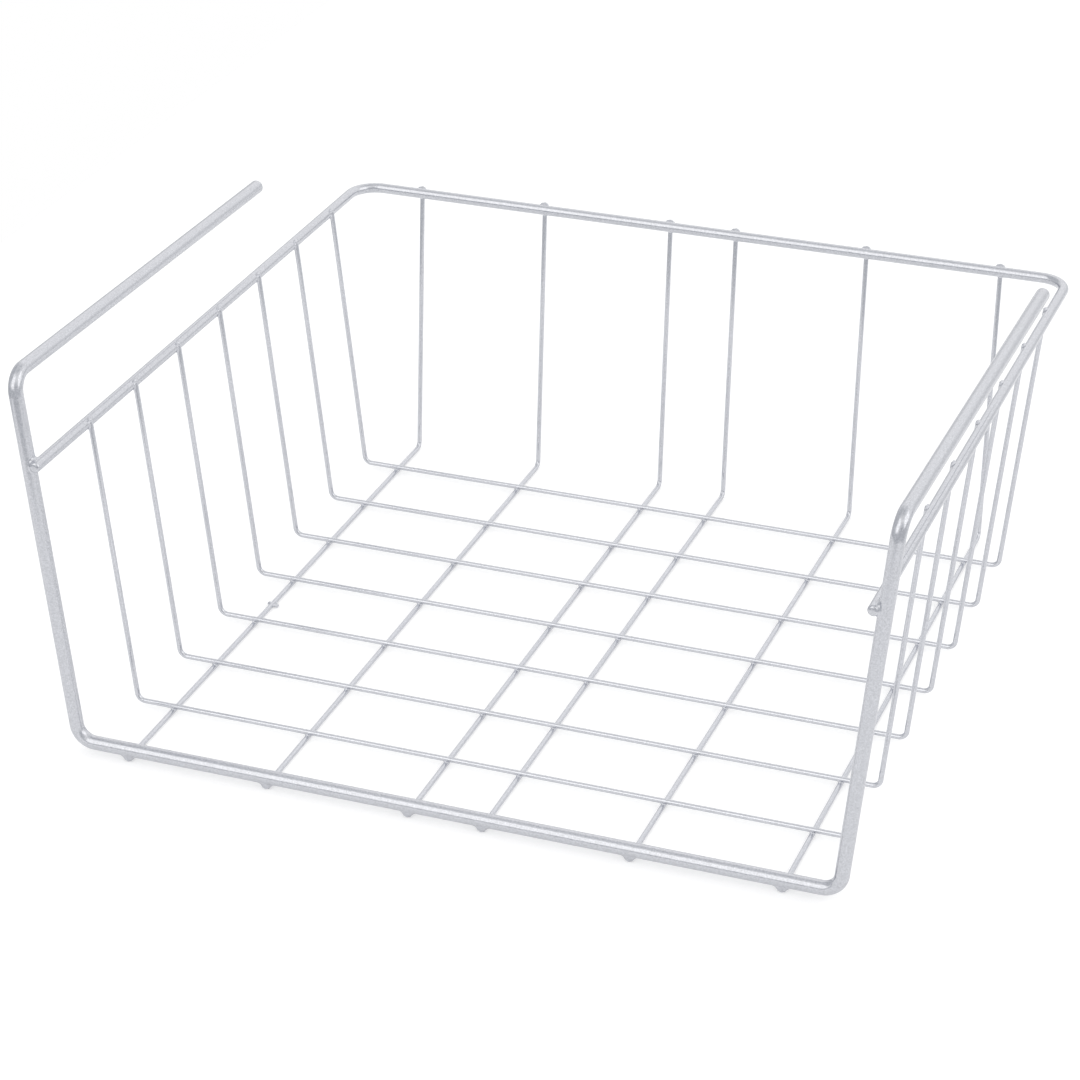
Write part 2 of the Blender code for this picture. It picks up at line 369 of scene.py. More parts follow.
for number, place in enumerate(floor_places, start=1):
    skin = wire_skin(bent_line(floor_corners(place), FLOOR_BEND), MESH_WIRE / 2, MESH_SIDES)
    wire = add_piece(f"floor_wire_{number}_skin", *skin)
    stand_for(wire, f"floor_wire_{number}")
    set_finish(wire, "floor_wires")

# %% [markdown]
# A spot welder presses two crossing wires together until they melt into each other. The squeezed steel
# and the coat fill the corner all round the crossing with a small hollow fillet. Joining the meshes with
# a boolean would leave a sharp line there, and remeshing would roughen the wires. A fillet has an exact
# shape: it is what a small ball leaves when it rolls round the crossing and touches both wires. For each
# direction round the crossing, the ball's place follows from two facts. On the carrying wire its centre
# lies one ball radius off the skin, and on the crossing wire, which may end there, it does too. The
# distance at which both are true is found by halving, since closer in the ball is stuck between the
# wires and further out it hangs free.

# %% a ball rolled round two crossing wires
HALVINGS = 40


def lower_offset(along, sideways, wire_radius, reach, ball):
    """How far below the crossing wire's centre line a ball's centre is when it touches that wire.
    reach is where the wire ends along its own direction. None means that the ball is past the wire."""
    edge = edge_radius(wire_radius)
    beyond = along - (reach - edge)
    if beyond <= 0:
        size = wire_radius + ball
    elif beyond <= edge + ball:
        size = wire_radius - edge + math.sqrt((edge + ball) ** 2 - beyond ** 2)
    else:
        return None
    return math.sqrt(size ** 2 - sideways ** 2) if size > abs(sideways) else None


def rolled_ball(angle, carrier_radius, wire_radius, centre_gap, reach, ball):
    """Centre of a ball that touches both wires, in one direction round their crossing.
    The carrier runs along x through the origin, and the wire along y at the height centre_gap."""
    near, far = 0.0, carrier_radius + wire_radius + 2 * ball
    for _ in range(HALVINGS):
        distance = (near + far) / 2
        x, y = distance * math.cos(angle), distance * math.sin(angle)
        under_wire = lower_offset(y, x, wire_radius, reach, ball)
        stuck = abs(y) < carrier_radius + ball and under_wire is not None
        if stuck:
            over_carrier = math.sqrt((carrier_radius + ball) ** 2 - y ** 2)
            stuck = over_carrier > centre_gap - under_wire
        if stuck:
            near = distance
        else:
            far = distance
    x, y = near * math.cos(angle), near * math.sin(angle)
    return Vector((x, y, math.sqrt((carrier_radius + ball) ** 2 - y ** 2)))


# %% [markdown]
# The ball touches each wire at one point, which lies on the line from the ball's centre to the nearest
# point of that wire's core. Between the two points the fillet is an arc of the ball. The first and last
# points of the arc get a partner just under the skin, so that the shading runs on smoothly and the edge
# can't be seen. All arcs together make a wall like the waist of a spool, and a fan inside each wire
# closes it. A welder is never quite even, so the ball grows and shrinks a little on its way round.

# %% the skin of one weld bead
BEAD_DIRECTIONS = 48
BEAD_STEPS = 7
TUCK = 0.06 * MM

# How much the ball's size varies, in how many waves on its way round, and the least strength of a wave
UNEVEN_SHARE = 0.16
UNEVEN_WAVES = 2, 3, 5
WEAKEST_WAVE = 0.3


def touch_points(centre, carrier_radius, wire_radius, centre_gap, reach, ball):
    """Where a rolled ball touches the carrier and the wire."""
    on_carrier_core = Vector((centre.x, 0, 0))
    carrier_touch = on_carrier_core + (centre - on_carrier_core).normalized() * carrier_radius
    edge = edge_radius(wire_radius)
    core = Vector((0, min(centre.y, reach - edge), centre_gap))
    if centre.y <= reach - edge:
        wire_touch = core + (centre - core).normalized() * wire_radius
    else:
        sideways = Vector((centre.x, 0, centre.z - centre_gap))
        rim_point = core + sideways.normalized() * min(sideways.length, wire_radius - edge)
        wire_touch = rim_point + (centre - rim_point).normalized() * edge
    return carrier_touch, wire_touch


def tucked(touch, into_wire, outwards):
    """A point just under a wire's skin, a little further out than where the ball touches it."""
    along_skin = outwards - into_wire * outwards.dot(into_wire)
    return touch + into_wire * TUCK + along_skin * TUCK * 2


def bead_skin(carrier_radius, wire_radius, centre_gap, reach, ball, luck):
    """Points and faces of a closed fillet round one crossing, in the crossing's own space."""
    waves = []
    for count in UNEVEN_WAVES:
        waves.append((count, luck.uniform(0, 2 * math.pi), luck.uniform(WEAKEST_WAVE, 1)))
    points = []
    for number in range(BEAD_DIRECTIONS):
        angle = 2 * math.pi * number / BEAD_DIRECTIONS
        unevenness = sum(size * math.sin(count * angle + start) / 2 for count, start, size in waves)
        rolling = ball * (1 + UNEVEN_SHARE * unevenness)
        centre = rolled_ball(angle, carrier_radius, wire_radius, centre_gap, reach, rolling)
        low, high = touch_points(centre, carrier_radius, wire_radius, centre_gap, reach, rolling)
        to_low = (low - centre).normalized()
        to_high = (high - centre).normalized()
        outwards = Vector((math.cos(angle), math.sin(angle), 0))
        points.append(tucked(low, to_low, outwards))
        for step in range(BEAD_STEPS + 1):
            way = to_low.slerp(to_high, step / BEAD_STEPS)
            points.append(centre + way * rolling)
        points.append(tucked(high, to_high, outwards))
    row = BEAD_STEPS + 3
    low_middle = len(points)
    high_middle = low_middle + 1
    points += [Vector((0, 0, 0)), Vector((0, 0, centre_gap))]
    faces = []
    for number in range(BEAD_DIRECTIONS):
        here, there = number * row, (number + 1) % BEAD_DIRECTIONS * row
        for step in range(row - 1):
            faces.append((here + step, there + step, there + step + 1, here + step + 1))
        faces.append((low_middle, there, here))
        faces.append((high_middle, here + row - 1, there + row - 1))
    return points, faces


# %% [markdown]
# The bead is worked out with the carrier along x and the wire along y. This helper finds the two points
# where the wires' cores come nearest, which gives the crossing's middle and its upward direction, and
# turns the bead into place. A wire that ends close to the weld is cropped there, and the ball rolls up
# over its cut edge.

# %% set a weld on two wires
# A wire that isn't cropped near its weld counts as this long, in metres
UNENDING = 1.0


def weld(carrier, wire, carrier_radius, wire_radius, ball, luck, cropped=True):
    """Skin of the weld between two straight stretches, each given by its two ends.
    The wire's second end is the one that may be cropped near the weld."""
    on_carrier, on_wire = intersect_line_line(*carrier, *wire)
    along = (wire[1] - wire[0]).normalized()
    upwards = (on_wire - on_carrier).normalized()
    across = along.cross(upwards)
    centre_gap = (on_wire - on_carrier).length
    reach = (wire[1] - on_wire).length if cropped else UNENDING
    points, faces = bead_skin(carrier_radius, wire_radius, centre_gap, reach, ball, luck)
    place = Matrix((across, along, upwards)).transposed()
    return [on_carrier + place @ point for point in points], faces


def add_welds(name, skins, slot):
    """One piece of several weld beads."""
    points, faces = [], []
    for more_points, more_faces in skins:
        first = len(points)
        points += more_points
        faces += [tuple(first + corner for corner in face) for face in more_faces]
    piece = add_piece(name, points, faces)
    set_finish(piece, slot)
    return piece


# %% [markdown]
# A fillet is hollow, but metal that melts at a free end draws together into a rounded knob. A knob is
# easiest to describe by pulls, as with Blender's metaballs, which would need a very fine grid here. Each
# wire's core and each small ball pulls on the space round it, less with distance, and the skin is where
# the pulls add up to one. How far out that is in each direction is found by halving again. The wires
# pull with a little less than their own radius, so that the knob sinks into them where it ends. The
# faster the pull fades, the crisper is the knob: at the power of 4 it flows like wax, at 8 it stands off.

# %% metal that melts together
MELT_RINGS = 36
MELT_SIDES = 48
MELT_HALVINGS = 20

# The pull is endless on a core's own line, so no distance counts as less than this
LEAST_DISTANCE = 0.001 * MM


def pull(point, cores, balls, power):
    """How strongly a few wires and balls pull at a point. A core is the end of a wire's centre line,
    the way that leads out of the wire there, and a radius."""
    strength = 0
    for end, way, radius in cores:
        along = min((point - end).dot(way), 0)
        strength += (radius / max((point - end - way * along).length, LEAST_DISTANCE)) ** power
    for centre, radius in balls:
        strength += (radius / max((point - centre).length, LEAST_DISTANCE)) ** power
    return strength


def melted_skin(middle, reach, cores, balls, power):
    """Points and faces of the closed skin round cores and balls, as far as it reaches from a middle."""
    ways = []
    for ring in range(1, MELT_RINGS):
        tilt = math.pi * ring / MELT_RINGS
        for side in range(MELT_SIDES):
            angle = 2 * math.pi * side / MELT_SIDES
            ways.append(Vector((math.sin(tilt) * math.cos(angle), -math.cos(tilt),
                                -math.sin(tilt) * math.sin(angle))))
    front_pole = len(ways)
    ways += [Vector((0, -1, 0)), Vector((0, 1, 0))]
    points = []
    for way in ways:
        near, far = 0.0, reach
        for _ in range(MELT_HALVINGS):
            distance = (near + far) / 2
            if pull(middle + way * distance, cores, balls, power) > 1:
                near = distance
            else:
                far = distance
        points.append(middle + way * near)
    faces = []
    last_row = (MELT_RINGS - 2) * MELT_SIDES
    for side in range(MELT_SIDES):
        after = (side + 1) % MELT_SIDES
        faces.append((front_pole, side, after))
        for row in range(0, last_row, MELT_SIDES):
            next_row = row + MELT_SIDES
            faces.append((row + side, next_row + side, next_row + after, row + after))
        faces.append((front_pole + 1, last_row + after, last_row + side))
    return points, faces


# %% [markdown]
# The cropped tips at the rim melt too. The heat of the weld draws each tip into a cap, which stands a
# little higher than the rim. The cutter has pinched the tips of the cross wires, so their caps are crisp
# and keep two small lobes, one on each side. Behind the rear rim the lobes have run into a wide dome.

# %% knobs at the rim
# The skin is searched for from a point on the wire this far above the rim's centre line, and within
# this reach. The rim pulls with this share of its radius.
KNOB_MIDDLE = 0.3 * MM
KNOB_REACH = 3.0 * MM
RIM_SHARE = 0.97

# How high the cap's core ends above the rim's, its share of the wire's radius, how crisp the cap is,
# and its lobes, in millimetres: along the rim, towards the rim, up, and radius
PINCHED = 1.2 * MM, 0.96, 8, [(-0.60, 0.00, 0.40, 0.50), (0.60, 0.00, 0.40, 0.50)]
DOMED = 1.6 * MM, 0.88, 4, [(-0.95, 0.40, 0.05, 0.58), (0.90, 0.40, 0.05, 0.56)]

# No two knobs are alike: these are the ranges of a cap's rise, a lobe's height and a lobe's radius
RISE_LUCK = 0.94, 1.06
LOBE_HEIGHT_LUCK = 0.7, 1.3
LOBE_RADIUS_LUCK = 0.92, 1.08


def above_rim(tip, way, height):
    """The point of a wire's centre line that is this high above the rim's."""
    return tip - way * (tip.z - RIM_HEIGHT - height) / way.z


def knob_skin(foot, tip, rim_line, kind, luck):
    """A melted cap over a wire's cropped tip, which runs into the rim beside it."""
    rise, share, power, lobes = kind
    way = (tip - foot).normalized()
    end = above_rim(tip, way, rise * luck.uniform(*RISE_LUCK))
    middle = above_rim(tip, way, KNOB_MIDDLE)
    along_rim = (rim_line[1] - rim_line[0]).normalized()
    on_rim = rim_line[0] + along_rim * (middle - rim_line[0]).dot(along_rim)
    to_rim = Vector((on_rim.x - middle.x, on_rim.y - middle.y, 0)).normalized()
    cores = [
        (end, way, share * MESH_WIRE / 2),
        (rim_line[1], along_rim, RIM_SHARE * RIM_WIRE / 2),
    ]
    balls = []
    for along, inwards, up, radius in lobes:
        place = along_rim * along + to_rim * inwards + way * up * luck.uniform(*LOBE_HEIGHT_LUCK)
        balls.append((end + place * MM, radius * MM * luck.uniform(*LOBE_RADIUS_LUCK)))
    return melted_skin(middle, KNOB_REACH, cores, balls, power)


# %% [markdown]
# The beads differ in size with what is welded. Two thin wires on the floor take a short pulse and keep
# a small fillet. At the rim a thin wire meets a thick one, and more steel and powder stay in the corner.
# Each cross wire gets six beads on the floor, one at the rim on either side, and its two knobs. They draw
# their unevenness from the wire's own seed, so that a change to one wire leaves the others as they are.

# %% welds of the cross wires
FLOOR_BALL = 0.42 * MM
RIM_BALL = 0.70 * MM

floor_lines = [floor_corners(place) for place in floor_places]
rim_left, rim_back_left, rim_back_right, rim_right = rim_corners

for number, depth in enumerate(cross_places, start=1):
    luck = random.Random(number)
    left_top, left_foot, right_foot, right_top = cross_corners(depth)
    skins = []
    for line in floor_lines:
        skins.append(weld(line[:2], (left_foot, right_foot), MESH_WIRE / 2, MESH_WIRE / 2,
                          FLOOR_BALL, luck, cropped=False))
    skins.append(weld((rim_left, rim_back_left), (left_foot, left_top), RIM_WIRE / 2, MESH_WIRE / 2,
                      RIM_BALL, luck))
    skins.append(weld((rim_right, rim_back_right), (right_foot, right_top), RIM_WIRE / 2, MESH_WIRE / 2,
                      RIM_BALL, luck))
    skins.append(knob_skin(left_foot, left_top, (rim_left, rim_back_left), PINCHED, luck))
    skins.append(knob_skin(right_foot, right_top, (rim_right, rim_back_right), PINCHED, luck))
    add_welds(f"cross_wire_{number}_welds", skins, "cross_wires")
print("floor crossings welded:", len(cross_places) * len(floor_lines))

# %% [markdown]
# Each floor wire is welded under the front rail, just behind its cropped tip, and behind the rear rim,
# where its other tip has melted into a dome. Under the rail the fillets sweep out widest, so the ball is
# a large one there. The two welds at the legs come last. They join the thick wires and carry the rim:
# the leg is the carrier, and the ball rolls round the rim's cropped front end.

# %% welds of the floor wires and of the legs
RAIL_BALL = 2.80 * MM
LEG_BALL = 1.00 * MM
FLOOR_WIRE_SEEDS = 100

rail_line = (frame_corners[2], frame_corners[3])
for number, (tip, foot, top) in enumerate(floor_lines, start=1):
    luck = random.Random(FLOOR_WIRE_SEEDS + number)
    skins = [
        weld(rail_line, (foot, tip), FRAME_WIRE / 2, MESH_WIRE / 2, RAIL_BALL, luck),
        weld((rim_back_left, rim_back_right), (foot, top), RIM_WIRE / 2, MESH_WIRE / 2, RIM_BALL, luck),
        knob_skin(foot, top, (rim_back_left, rim_back_right), DOMED, luck),
    ]
    add_welds(f"floor_wire_{number}_welds", skins, "floor_wires")

for side, leg, rim_line in (
    ("left", (frame_corners[1], frame_corners[2]), (rim_back_left, rim_left)),
    ("right", (frame_corners[4], frame_corners[3]), (rim_back_right, rim_right)),
):
    luck = random.Random(side)
    skins = [weld(leg, rim_line, FRAME_WIRE / 2, RIM_WIRE / 2, LEG_BALL, luck)]
    add_welds(f"{side}_leg_weld", skins, "hanger_frame")
print("welds at the rail and the rear rim:", 2 * len(floor_lines))

# %% [markdown]
# While its powder was sprayed and baked, the basket hung on a small hook under the first floor wire, in
# the left of the basket. The coat keeps a mark there: a burr that sticks out on both sides of the wire.
# It has the shape of a few small balls that melt into the wire, so the helper of the knobs draws it.

# %% the hang mark
MARK_DEPTH = 114.8 * MM
MARK_BALLS = [
    (Vector((-1.00, 0.15, 0.12)) * MM, 0.84 * MM),
    (Vector((1.05, 0.00, 0.05)) * MM, 0.62 * MM),
    (Vector((1.95, -0.05, 0.05)) * MM, 0.80 * MM),
]
MARK_REACH = 3.2 * MM

# The wire pulls with this share of its radius, and the pull fades with this power
MARK_SHARE = 0.95
MARK_POWER = 4

mark_middle = Vector((floor_places[0], MARK_DEPTH, floor_wire_height))
backwards = Vector((0, 1, 0))
marked_wire = [(mark_middle + backwards * UNENDING, backwards, MARK_SHARE * MESH_WIRE / 2)]
mark_balls = [(mark_middle + place, radius) for place, radius in MARK_BALLS]
mark = add_piece("hang_mark", *melted_skin(mark_middle, MARK_REACH, marked_wire, mark_balls, MARK_POWER))
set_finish(mark, "floor_wires")
reached = [(vertex.co.x - floor_places[0]) / MM for vertex in mark.data.vertices]
print(f"the mark reaches {-min(reached):.2f} mm to the left and {max(reached):.2f} mm to the right")

# %% [markdown]
# The finish is silver powder. Flakes of aluminium float in a clear resin that is baked on, so the coat
# is metallic but soft: it mirrors a lamp as a broad pale band and not as a sharp picture. Seen close, it
# has three scales. Flakes lie at slightly different slants, which makes a fine grain of light and dark.
# The powder is a little thicker here and thinner there, which makes a slow mottle. And the melt levels
# out like the skin of an orange, which is a shallow bump. All three are noise in the object's own space,
# so the grain has its real size on every wire. Thick wires catch more powder and get a coarser skin. The
# thin ones come out smoother, so they mirror a little more sharply. Their silver is also painted a touch
# paler, which is painted light: it makes them read brighter than the same coat on the thick wires.

# %% noises of the coat's three scales
FLAKE_SIZE = 0.42 * MM
MOTTLE_SIZE = 1.1 * MM
LEVELLING_SIZE = 0.7 * MM


def add_noise(tree, place, size, detail):
    """A noise node whose features have one size in metres."""
    noise = tree.nodes.new("ShaderNodeTexNoise")
    noise.inputs["Scale"].default_value = 1 / size
    noise.inputs["Detail"].default_value = detail
    tree.links.new(place, noise.inputs["Vector"])
    return noise.outputs["Fac"]


def map_range(tree, value, low, high, new_low, new_high):
    """A node that carries one range of a value over to another."""
    node = tree.nodes.new("ShaderNodeMapRange")
    node.inputs["From Min"].default_value = low
    node.inputs["From Max"].default_value = high
    node.inputs["To Min"].default_value = new_low
    node.inputs["To Max"].default_value = new_high
    tree.links.new(value, node.inputs["Value"])
    return node.outputs["Result"]


# %% [markdown]
# The grain and the mottle together choose between a dark and a light silver, and the mottle alone makes
# some places smoother than others. The Principled shader does the rest: at a metallic share just under
# one it mirrors in its own colour, as flakes do, with a trace of the clear resin's own shine. One recipe
# serves all wires, and two numbers fit it to each: how coarse its skin is, and how much paler it is
# painted, which on the thin wires is painted light.

# %% silver powder coat
SILVER_DARK = (0.556, 0.565, 0.599)
SILVER_LIGHT = (0.710, 0.720, 0.761)
COAT_METALLIC = 0.9
COAT_ROUGHNESS = 0.17, 0.23
LEVELLING_DEPTH = 0.004 * MM
LEVELLING_STRENGTH = 0.5

# Which part of each noise goes from the dark silver to the light one, and its share in the colour
FLAKE_RANGE = 0.38, 0.62
FLAKE_SHARE = 0.7
MOTTLE_RANGE = 0.35, 0.65
MOTTLE_SHARE = 0.3

# Which part of the mottle goes from the smoothest coat to the roughest
ROUGHNESS_RANGE = 0.3, 0.7


def powder_coat(name, coarseness, painted_lightening=1.0):
    """Silver powder coat. Coarseness is 1 on the thickest wire and less on a thinner, smoother one.
    The painted lightening is what the colours are multiplied by: above one, it is painted light that
    makes the wire read brighter."""
    material = bpy.data.materials.new(name)
    material.use_nodes = True
    tree = material.node_tree
    shader = tree.nodes["Principled BSDF"]
    place = tree.nodes.new("ShaderNodeTexCoord").outputs["Object"]
    flakes = add_noise(tree, place, FLAKE_SIZE, 2)
    mottle = add_noise(tree, place, MOTTLE_SIZE * coarseness, 3)
    levelling = add_noise(tree, place, LEVELLING_SIZE * coarseness, 1)

    grain = tree.nodes.new("ShaderNodeMath")
    grain.operation = "ADD"
    tree.links.new(map_range(tree, flakes, *FLAKE_RANGE, 0, FLAKE_SHARE), grain.inputs[0])
    tree.links.new(map_range(tree, mottle, *MOTTLE_RANGE, 0, MOTTLE_SHARE), grain.inputs[1])
    colour = tree.nodes.new("ShaderNodeMix")
    colour.data_type = "RGBA"
    # Both silvers are multiplied by the painted lightening, which above one paints the wire paler so that
    # it reads brighter
    colour.inputs["A"].default_value = [part * painted_lightening for part in SILVER_DARK] + [1]
    colour.inputs["B"].default_value = [part * painted_lightening for part in SILVER_LIGHT] + [1]
    tree.links.new(grain.outputs[0], colour.inputs["Factor"])
    tree.links.new(colour.outputs["Result"], shader.inputs["Base Color"])
    smoothest, roughest = (value * coarseness for value in COAT_ROUGHNESS)
    roughness = map_range(tree, mottle, *ROUGHNESS_RANGE, smoothest, roughest)
    tree.links.new(roughness, shader.inputs["Roughness"])

    bump = tree.nodes.new("ShaderNodeBump")
    bump.inputs["Strength"].default_value = LEVELLING_STRENGTH
    bump.inputs["Distance"].default_value = LEVELLING_DEPTH
    tree.links.new(levelling, bump.inputs["Height"])
    tree.links.new(bump.outputs["Normal"], shader.inputs["Normal"])
    shader.inputs["Metallic"].default_value = COAT_METALLIC
    return material


coats = {
    "hanger_frame": powder_coat("silver_coat_on_frame", 1.0),
    "top_rim": powder_coat("silver_coat_on_rim", 0.9),
    # The thin wires' silvers are multiplied by 1.04: painted light that makes them read brighter than the
    # same coat on the thick wires
    "cross_wires": powder_coat("silver_coat_on_cross_wires", 0.7, 1.04),
    "floor_wires": powder_coat("silver_coat_on_floor_wires", 0.7, 1.04),
}
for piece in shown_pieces():
    piece.data.materials.append(coats[piece["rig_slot"]])

# %% [markdown]
# The floor is a plain pale board that reaches far back, with its other edges just outside the picture.
# The edges matter: the legs mirror the floor in front of them, and where they see past its edge, high up
# under the arms, they turn dark.

# %% the floor
# The board's edges, in metres from the basket's middle
FLOOR_LEFT = -0.38
FLOOR_RIGHT = 0.36
FLOOR_FRONT = -0.375
FLOOR_BACK = 4.0

floor_mesh = bpy.data.meshes.new("floor")
floor_mesh.from_pydata([
    (FLOOR_LEFT, FLOOR_FRONT, 0),
    (FLOOR_RIGHT, FLOOR_FRONT, 0),
    (FLOOR_RIGHT, FLOOR_BACK, 0),
    (FLOOR_LEFT, FLOOR_BACK, 0),
], [], [(0, 1, 2, 3)])
floor = bpy.data.objects.new("floor", floor_mesh)
bpy.context.scene.collection.objects.link(floor)
floor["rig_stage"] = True
print(f"floor: {FLOOR_RIGHT - FLOOR_LEFT:.2f} m wide and {FLOOR_BACK - FLOOR_FRONT:.2f} m deep")

# %% [markdown]
# The board's own colour is a pale grey. What the camera and the wires' reflections see of it is lifted by
# a glow that only they can see, and the camera sees a little more of it than the wires do. So the floor
# looks white, lights nothing by itself and still keeps the basket's soft shadow.

# %% the floor's pale finish
FLOOR_COLOUR = (0.72, 0.72, 0.72, 1)
GLOW_FOR_CAMERA = 0.43
GLOW_FOR_WIRES = 0.30

board = bpy.data.materials.new("pale_floor")
board.use_nodes = True
board_tree = board.node_tree
board_shader = board_tree.nodes["Principled BSDF"]
board_shader.inputs["Base Color"].default_value = FLOOR_COLOUR
board_shader.inputs["Roughness"].default_value = 1.0
board_shader.inputs["Specular IOR Level"].default_value = 0.0
board_shader.inputs["Emission Color"].default_value = (1, 1, 1, 1)
rays = board_tree.nodes.new("ShaderNodeLightPath")
seen = board_tree.nodes.new("ShaderNodeMath")
seen.operation = "MULTIPLY"
seen.inputs[1].default_value = GLOW_FOR_CAMERA
board_tree.links.new(rays.outputs["Is Camera Ray"], seen.inputs[0])
glow = board_tree.nodes.new("ShaderNodeMath")
glow.operation = "MULTIPLY_ADD"
glow.inputs[1].default_value = GLOW_FOR_WIRES
board_tree.links.new(rays.outputs["Is Glossy Ray"], glow.inputs[0])
board_tree.links.new(seen.outputs[0], glow.inputs[2])
board_tree.links.new(glow.outputs[0], board_shader.inputs["Emission Strength"])
floor_mesh.materials.append(board)
print("glow of the floor for the camera and for the wires:", GLOW_FOR_CAMERA, GLOW_FOR_WIRES)

# %% [markdown]
# The studio is a white tent, and its walls are the world here. Each wire mirrors what is round it as
# lines along its length, so the walls can't be even: a pale band with a grey line on both sides needs a
# pale place between two dark ones. An image of a studio would do it, but a few nodes are enough. One
# node tells how nearly a ray looks in some direction, and a smooth range turns that into a level. Where
# several dark places overlap, the darkest one counts.
# A direction is written as a photographer would point: an azimuth, which is 0 in front of the basket and
# grows to the right, and an elevation above the floor.

# %% light and dark towards a direction
def direction(azimuth, elevation):
    """A unit vector from the basket towards a place in the studio, from angles in degrees."""
    turn, rise = math.radians(azimuth), math.radians(elevation)
    return Vector((math.sin(turn) * math.cos(rise), -math.cos(turn) * math.cos(rise), math.sin(rise)))


world = bpy.data.worlds.new("tent")
bpy.context.scene.world = world
world.use_nodes = True
tent_tree = world.node_tree
tent_tree.nodes.clear()
looking = tent_tree.nodes.new("ShaderNodeTexCoord").outputs["Generated"]


def facing(way, far_cosine, near_cosine, far_level, near_level):
    """A level that changes smoothly with how nearly a ray looks along one direction.
    The far level is a number or the output of another node."""
    nearness = tent_tree.nodes.new("ShaderNodeVectorMath")
    nearness.operation = "DOT_PRODUCT"
    nearness.inputs[1].default_value = way
    tent_tree.links.new(looking, nearness.inputs[0])
    share = tent_tree.nodes.new("ShaderNodeMapRange")
    share.interpolation_type = "SMOOTHSTEP"
    share.inputs["From Min"].default_value = far_cosine
    share.inputs["From Max"].default_value = near_cosine
    share.inputs["To Max"].default_value = near_level
    if isinstance(far_level, bpy.types.NodeSocket):
        tent_tree.links.new(far_level, share.inputs["To Min"])
    else:
        share.inputs["To Min"].default_value = far_level
    tent_tree.links.new(nearness.outputs["Value"], share.inputs["Value"])
    return share.outputs["Result"]


def darker(first, second):
    """The lower one of two levels."""
    least = tent_tree.nodes.new("ShaderNodeMath")
    least.operation = "MINIMUM"
    tent_tree.links.new(first, least.inputs[0])
    tent_tree.links.new(second, least.inputs[1])
    return least.outputs[0]


# %% [markdown]
# Most of the light comes evenly from the walls, which are a little brighter behind. They are darker high
# up behind, on the left, and low down between the two large lamps. All round, the room shows below the
# walls, darker in front than behind.

# %% the tent's walls and its dark places
WALL = 0.95
BACK_WALL = 1.06
ROOM_IN_FRONT = 0.62
ROOM_BEHIND = 0.82
ROOM_TOP_DEGREES = 4
WALL_FOOT_DEGREES = 18
PALEST_ROOM_AZIMUTH = 150

# Between which cosines of the angle to their palest place the walls and the room grow paler
WALL_COSINES = 0, 0.8
ROOM_COSINES = 0.2, 0.9

DARK_PLACES = [
    # azimuth and elevation of its middle, the angles from there where it is full and gone, and its level
    (180, 80, 10, 34, 0.72),
    (-95, 35, 18, 50, 0.64),
    (32, 8, 14, 42, 0.62),
]

level = facing(direction(180, 0), *WALL_COSINES, WALL, BACK_WALL)
room = facing(direction(PALEST_ROOM_AZIMUTH, 0), *ROOM_COSINES, ROOM_IN_FRONT, ROOM_BEHIND)
low, high = (math.sin(math.radians(angle)) for angle in (ROOM_TOP_DEGREES, WALL_FOOT_DEGREES))
level = darker(level, facing(direction(0, 90), low, high, room, BACK_WALL))
for azimuth, elevation, full, gone, dark in DARK_PLACES:
    edges = math.cos(math.radians(gone)), math.cos(math.radians(full))
    level = darker(level, facing(direction(azimuth, elevation), *edges, BACK_WALL, dark))
print("dark places in the tent:", len(DARK_PLACES))

# %% [markdown]
# The level becomes the strength of the world's light. The darker a place is, the cooler is its grey. The
# camera sees plain white behind the floor instead, as in a catalogue picture.

# %% the tent's colour
DARK_LEVEL = 0.6
DARK_TINT = (0.97, 0.99, 1.025, 1)
CAMERA_WHITE = 1.0

tint = tent_tree.nodes.new("ShaderNodeMix")
tint.data_type = "RGBA"
tint.inputs["A"].default_value = DARK_TINT
tint.inputs["B"].default_value = (1, 1, 1, 1)
tent_tree.links.new(map_range(tent_tree, level, DARK_LEVEL, WALL, 0, 1), tint.inputs["Factor"])
tent = tent_tree.nodes.new("ShaderNodeBackground")
tent_tree.links.new(tint.outputs["Result"], tent.inputs["Color"])
tent_tree.links.new(level, tent.inputs["Strength"])
backdrop = tent_tree.nodes.new("ShaderNodeBackground")
backdrop.inputs["Color"].default_value = (1, 1, 1, 1)
backdrop.inputs["Strength"].default_value = CAMERA_WHITE
which = tent_tree.nodes.new("ShaderNodeMixShader")
tent_rays = tent_tree.nodes.new("ShaderNodeLightPath")
tent_tree.links.new(tent_rays.outputs["Is Camera Ray"], which.inputs["Fac"])
tent_tree.links.new(tent.outputs[0], which.inputs[1])
tent_tree.links.new(backdrop.outputs[0], which.inputs[2])
output = tent_tree.nodes.new("ShaderNodeOutputWorld")
tent_tree.links.new(which.outputs[0], output.inputs["Surface"])
print("nodes in the tent:", len(tent_tree.nodes))

# %% [markdown]
# Two large lamps shine into the tent, one from the front left and one from the right. They make the
# palest lines on the wires and the double glint in the frame's bends. A lamp is described by what it
# looks like from the basket: the angles that it fills, and how much brighter than the wall it is. Its
# size and its watts follow from those. The lamps are a touch warmer than the walls, so that the palest
# lines come out nearly white on the cool silver.

# %% the soft lamps
LAMP_DISTANCE = 2.5
LAMP_COLOUR = (1, 0.985, 0.955)


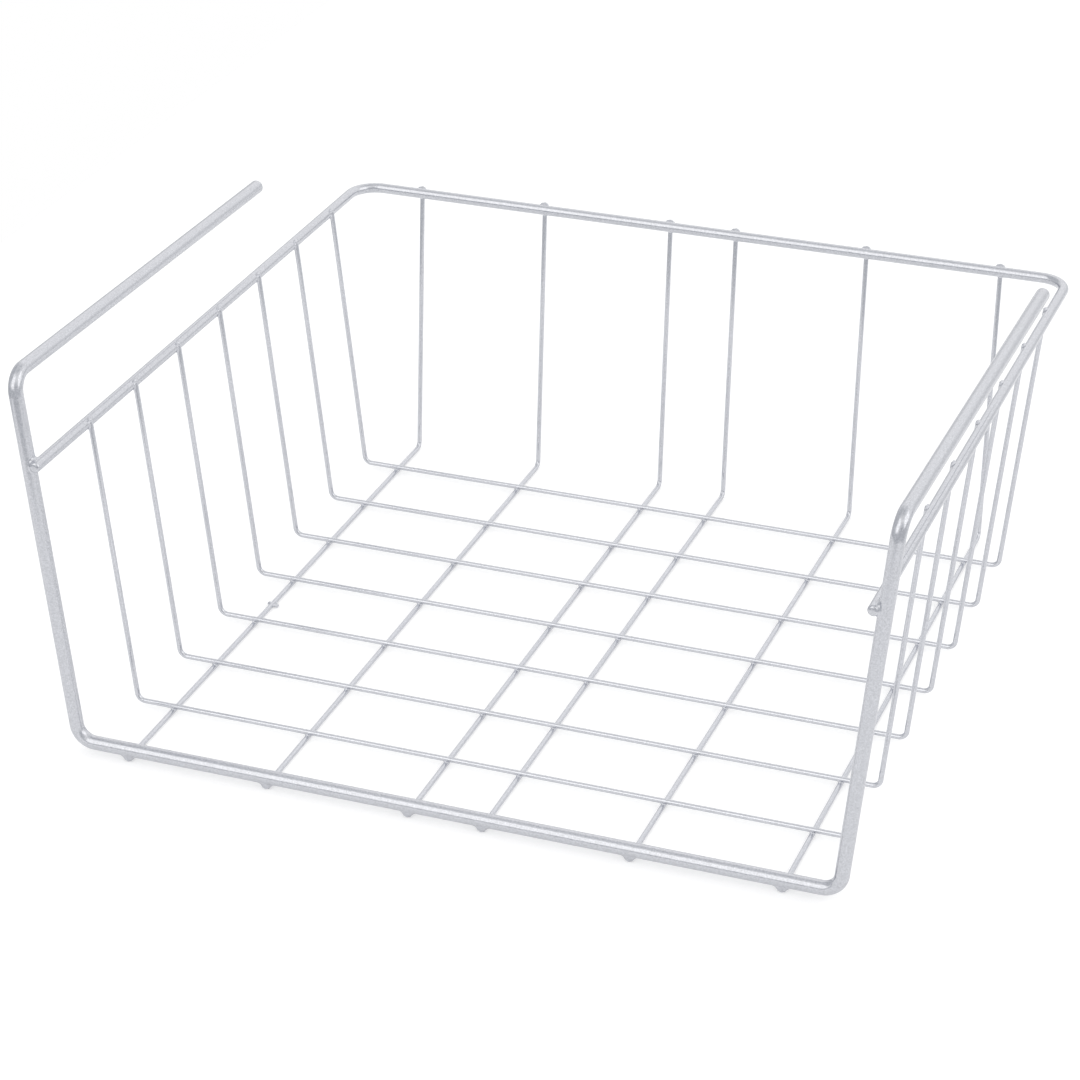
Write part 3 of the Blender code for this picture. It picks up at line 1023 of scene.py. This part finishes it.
def soft_lamp(name, azimuth, elevation, width_angle, height_angle, brightness):
    """A flat lamp that fills an angle as seen from the basket and adds its brightness to the wall's."""
    light = bpy.data.lights.new(name, "AREA")
    light.shape = "RECTANGLE"
    light.size = 2 * LAMP_DISTANCE * math.tan(math.radians(width_angle / 2))
    light.size_y = 2 * LAMP_DISTANCE * math.tan(math.radians(height_angle / 2))
    light.energy = brightness * math.pi * light.size * light.size_y
    light.color = LAMP_COLOUR
    lamp = bpy.data.objects.new(name, light)
    bpy.context.scene.collection.objects.link(lamp)
    towards = direction(azimuth, elevation)
    lamp.location = towards * LAMP_DISTANCE
    lamp.rotation_euler = towards.to_track_quat("Z", "Y").to_euler()
    print(f"{name}: {light.size:.2f} by {light.size_y:.2f} m, {light.energy:.1f} W")


soft_lamp("front_left_lamp", -25, 38, 40, 48, 0.50)
soft_lamp("right_lamp", 84, 34, 40, 42, 0.54)

# %% [markdown]
# The photographer stood in front, a little to the right, and looked down into the basket with a long
# lens, so that the far wires look only a little shorter than the near ones. The camera is aimed at a
# point near the middle of the basket, 5 cm above its floor, and turned by a third of a degree, as a
# camera held by hand is.

# %% the camera
CAMERA_PLACE = Vector((0.3531, -0.9722, 0.5796))
AIM = Vector((-0.0075, -0.0229, 0.0498))
TILT = math.radians(-0.35)
LENS_MM = 109.49
SENSOR_MM = 36.0

camera_data = bpy.data.cameras.new("camera")
camera_data.lens = LENS_MM
camera_data.sensor_width = SENSOR_MM
camera = bpy.data.objects.new("camera", camera_data)
bpy.context.scene.collection.objects.link(camera)
camera.location = CAMERA_PLACE
aimed = (AIM - CAMERA_PLACE).to_track_quat("-Z", "Y").to_matrix()
camera.rotation_euler = (aimed @ Matrix.Rotation(TILT, 3, "Z")).to_euler()
bpy.context.scene.camera = camera
bpy.context.scene.view_settings.view_transform = "Standard"
print(f"the camera stands {(AIM - CAMERA_PLACE).length:.2f} m from the point that it looks at")

# %% [markdown]
# Last, the dressed basket's box size is printed beside the imported one's. A part that looks right and
# has the wrong size is no use in a library, so the two sizes are printed together.

# %% print the sizes of both boxes
visual_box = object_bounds()
sizes = {"cad": [list(corner) for corner in cad_box], "visual": [list(corner) for corner in visual_box]}
for name, (low, high) in sizes.items():
    print(name, "size in mm:", [round((b - a) / MM, 2) for a, b in zip(low, high)])
